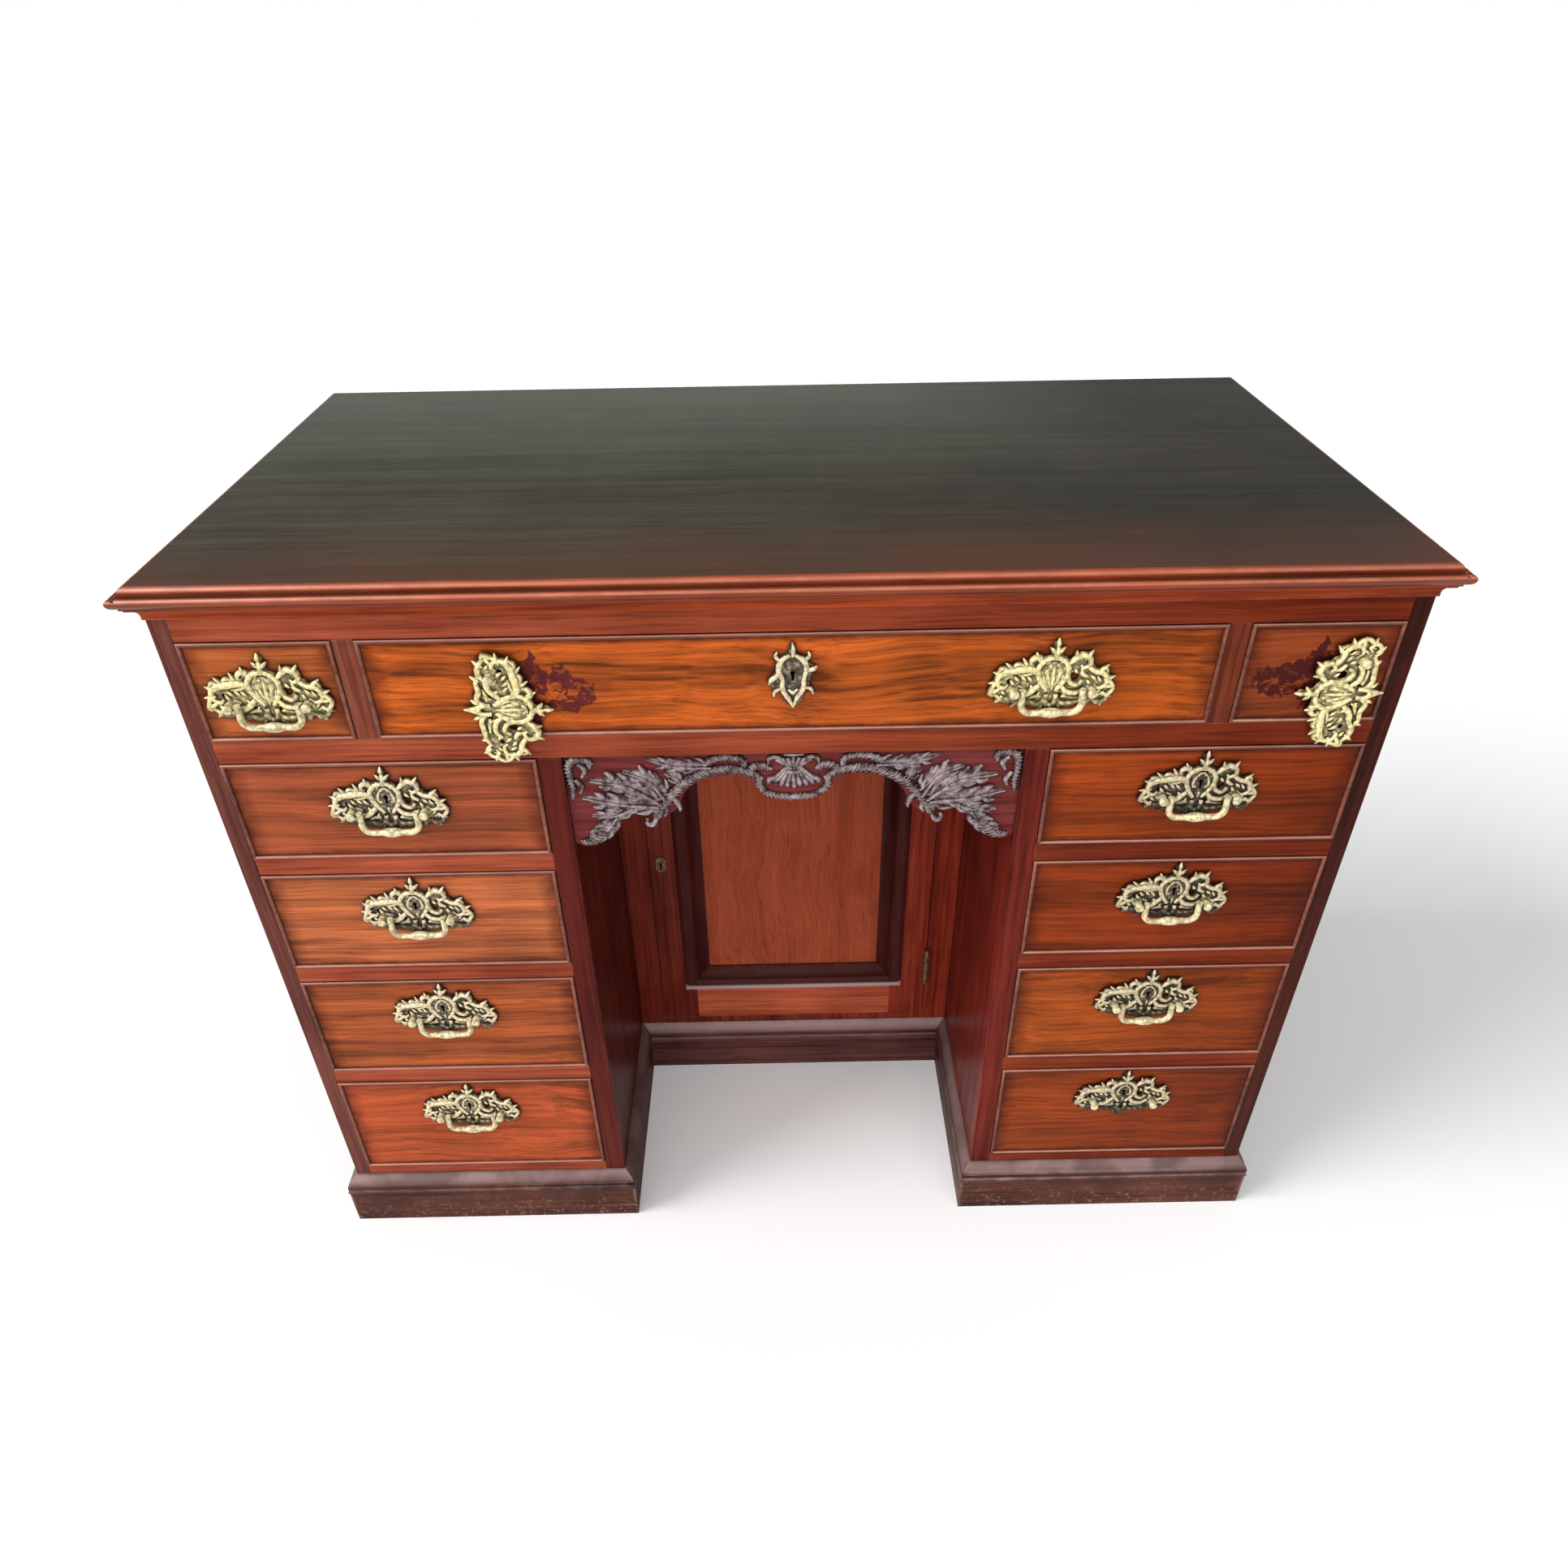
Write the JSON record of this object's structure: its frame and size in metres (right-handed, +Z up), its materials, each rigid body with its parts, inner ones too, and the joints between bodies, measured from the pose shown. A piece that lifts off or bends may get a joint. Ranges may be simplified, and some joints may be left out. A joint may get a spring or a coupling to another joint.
{
  "type": "kneehole desk",
  "caption": "Kneehole desk with a moulded top, frieze drawers over drawer pedestals, a carved apron, a recessed cupboard and pierced brass bail handles.",
  "frame": {"origin": "on the floor under the middle of the top's outline", "axes": "+X to the sitter's right hand side as seen from the front, +Y to the back, +Z up"},
  "size_m": [1, 0.5, 0.772],
  "materials": {
    "mahogany_top": "dark glossy polish",
    "mahogany_case": "waxed red-brown mahogany",
    "mahogany_drawer": "waxed striped mahogany",
    "carved_mahogany": "dark carving with worn grey high spots",
    "worn_plinth": "scuffed dark mahogany",
    "pine": "plain unpolished boards",
    "brass": "pale old brass with dark recesses"
  },
  "bodies": {
    "case": {"top_board": "mahogany_top", "bed_moulding": "mahogany_case", "left_side": "mahogany_case", "right_side": "mahogany_case", "left_knee_side": "mahogany_case", "right_knee_side": "mahogany_case", "back_boards": "pine", "frieze_rails": "mahogany_case", "frieze_partitions": "mahogany_case", "pedestal_rails": "mahogany_case", "dustboards": "pine", "plinth_left": "worn_plinth", "plinth_right": "worn_plinth", "plinth_middle": "worn_plinth", "apron_board": "carved_mahogany", "apron_carving": "carved_mahogany", "cupboard_frame": "mahogany_case", "cupboard_shelves": "pine", "hinge_fixed_leaves": "brass"},
    "door": {"door_frame": "mahogany_case", "door_panel": "mahogany_case", "door_moulding": "mahogany_case", "hinge_door_leaves": "brass", "door_lock": "brass"},
    "drawer_left_1": {"drawer_left_1": "mahogany_drawer", "handle_left_1": "brass"},
    "bail_left_1": {"bail_left_1": "brass"},
    "drawer_left_2": {"drawer_left_2": "mahogany_drawer", "handle_left_2": "brass"},
    "bail_left_2": {"bail_left_2": "brass"},
    "drawer_left_3": {"drawer_left_3": "mahogany_drawer", "handle_left_3": "brass"},
    "bail_left_3": {"bail_left_3": "brass"},
    "drawer_left_4": {"drawer_left_4": "mahogany_drawer", "handle_left_4": "brass"},
    "bail_left_4": {"bail_left_4": "brass"},
    "drawer_right_1": {"drawer_right_1": "mahogany_drawer", "handle_right_1": "brass"},
    "bail_right_1": {"bail_right_1": "brass"},
    "drawer_right_2": {"drawer_right_2": "mahogany_drawer", "handle_right_2": "brass"},
    "bail_right_2": {"bail_right_2": "brass"},
    "drawer_right_3": {"drawer_right_3": "mahogany_drawer", "handle_right_3": "brass"},
    "bail_right_3": {"bail_right_3": "brass"},
    "drawer_right_4": {"drawer_right_4": "mahogany_drawer", "handle_right_4": "brass"},
    "drawer_frieze_left": {"drawer_frieze_left": "mahogany_drawer", "handle_frieze_left": "brass"},
    "drawer_frieze_long": {"drawer_frieze_long": "mahogany_drawer", "handle_long_right": "brass", "post_long_left": "brass", "long_drawer_escutcheon": "brass"},
    "drawer_frieze_right": {"drawer_frieze_right": "mahogany_drawer", "post_frieze_right": "brass"},
    "bail_frieze_left": {"bail_frieze_left": "brass"},
    "bail_long_right": {"bail_long_right": "brass"},
    "slipped_plate_long_left": {"handle_long_left": "brass"},
    "slipped_plate_frieze_right": {"handle_frieze_right": "brass"}
  },
  "joints": [
    {"name": "door_swing", "type": "hinge", "parent": "case", "child": "door", "pos_m": [0.1603, -0.0255, 0.2955], "axis": [0, 0, 1], "range_deg": [0, 90]},
    {"name": "left_1_slide", "type": "slide", "parent": "case", "child": "drawer_left_1", "axis": [0, -1, 0], "range_m": [0, 0.3]},
    {"name": "bail_left_1_lift", "type": "hinge", "parent": "drawer_left_1", "child": "bail_left_1", "pos_m": [-0.3395, -0.2425, 0.56313], "axis": [-1, 0, 0], "range_deg": [0, 95]},
    {"name": "left_2_slide", "type": "slide", "parent": "case", "child": "drawer_left_2", "axis": [0, -1, 0], "range_m": [0, 0.3]},
    {"name": "bail_left_2_lift", "type": "hinge", "parent": "drawer_left_2", "child": "bail_left_2", "pos_m": [-0.3395, -0.2425, 0.44525], "axis": [-1, 0, 0], "range_deg": [0, 95]},
    {"name": "left_3_slide", "type": "slide", "parent": "case", "child": "drawer_left_3", "axis": [0, -1, 0], "range_m": [0, 0.3]},
    {"name": "bail_left_3_lift", "type": "hinge", "parent": "drawer_left_3", "child": "bail_left_3", "pos_m": [-0.3395, -0.2425, 0.31443], "axis": [-1, 0, 0], "range_deg": [0, 95]},
    {"name": "left_4_slide", "type": "slide", "parent": "case", "child": "drawer_left_4", "axis": [0, -1, 0], "range_m": [0, 0.3]},
    {"name": "bail_left_4_lift", "type": "hinge", "parent": "drawer_left_4", "child": "bail_left_4", "pos_m": [-0.3395, -0.2425, 0.17061], "axis": [-1, 0, 0], "range_deg": [0, 95]},
    {"name": "right_1_slide", "type": "slide", "parent": "case", "child": "drawer_right_1", "axis": [0, -1, 0], "range_m": [0, 0.3]},
    {"name": "bail_right_1_lift", "type": "hinge", "parent": "drawer_right_1", "child": "bail_right_1", "pos_m": [0.3395, -0.2425, 0.56313], "axis": [-1, 0, 0], "range_deg": [0, 95]},
    {"name": "right_2_slide", "type": "slide", "parent": "case", "child": "drawer_right_2", "axis": [0, -1, 0], "range_m": [0, 0.3]},
    {"name": "bail_right_2_lift", "type": "hinge", "parent": "drawer_right_2", "child": "bail_right_2", "pos_m": [0.3395, -0.2425, 0.44525], "axis": [-1, 0, 0], "range_deg": [0, 95]},
    {"name": "right_3_slide", "type": "slide", "parent": "case", "child": "drawer_right_3", "axis": [0, -1, 0], "range_m": [0, 0.3]},
    {"name": "bail_right_3_lift", "type": "hinge", "parent": "drawer_right_3", "child": "bail_right_3", "pos_m": [0.3395, -0.2425, 0.31443], "axis": [-1, 0, 0], "range_deg": [0, 95]},
    {"name": "right_4_slide", "type": "slide", "parent": "case", "child": "drawer_right_4", "axis": [0, -1, 0], "range_m": [0, 0.3]},
    {"name": "frieze_left_slide", "type": "slide", "parent": "case", "child": "drawer_frieze_left", "axis": [0, -1, 0], "range_m": [0, 0.3]},
    {"name": "frieze_long_slide", "type": "slide", "parent": "case", "child": "drawer_frieze_long", "axis": [0, -1, 0], "range_m": [0, 0.3]},
    {"name": "frieze_right_slide", "type": "slide", "parent": "case", "child": "drawer_frieze_right", "axis": [0, -1, 0], "range_m": [0, 0.3]},
    {"name": "bail_frieze_left_lift", "type": "hinge", "parent": "drawer_frieze_left", "child": "bail_frieze_left", "pos_m": [-0.40972, -0.2425, 0.66946], "axis": [-1, 0, 0], "range_deg": [0, 95]},
    {"name": "bail_long_right_lift", "type": "hinge", "parent": "drawer_frieze_long", "child": "bail_long_right", "pos_m": [0.20302, -0.2425, 0.66946], "axis": [-1, 0, 0], "range_deg": [0, 95]},
    {"name": "slipped_plate_long_left_swing", "type": "hinge", "parent": "drawer_frieze_long", "child": "slipped_plate_long_left", "pos_m": [-0.23356, -0.234, 0.69224], "axis": [0, -1, 0], "range_deg": [-15, 90]},
    {"name": "slipped_plate_frieze_right_swing", "type": "hinge", "parent": "drawer_frieze_right", "child": "slipped_plate_frieze_right", "pos_m": [0.44026, -0.234, 0.69224], "axis": [0, 1, 0], "range_deg": [-15, 90]}
  ]
}
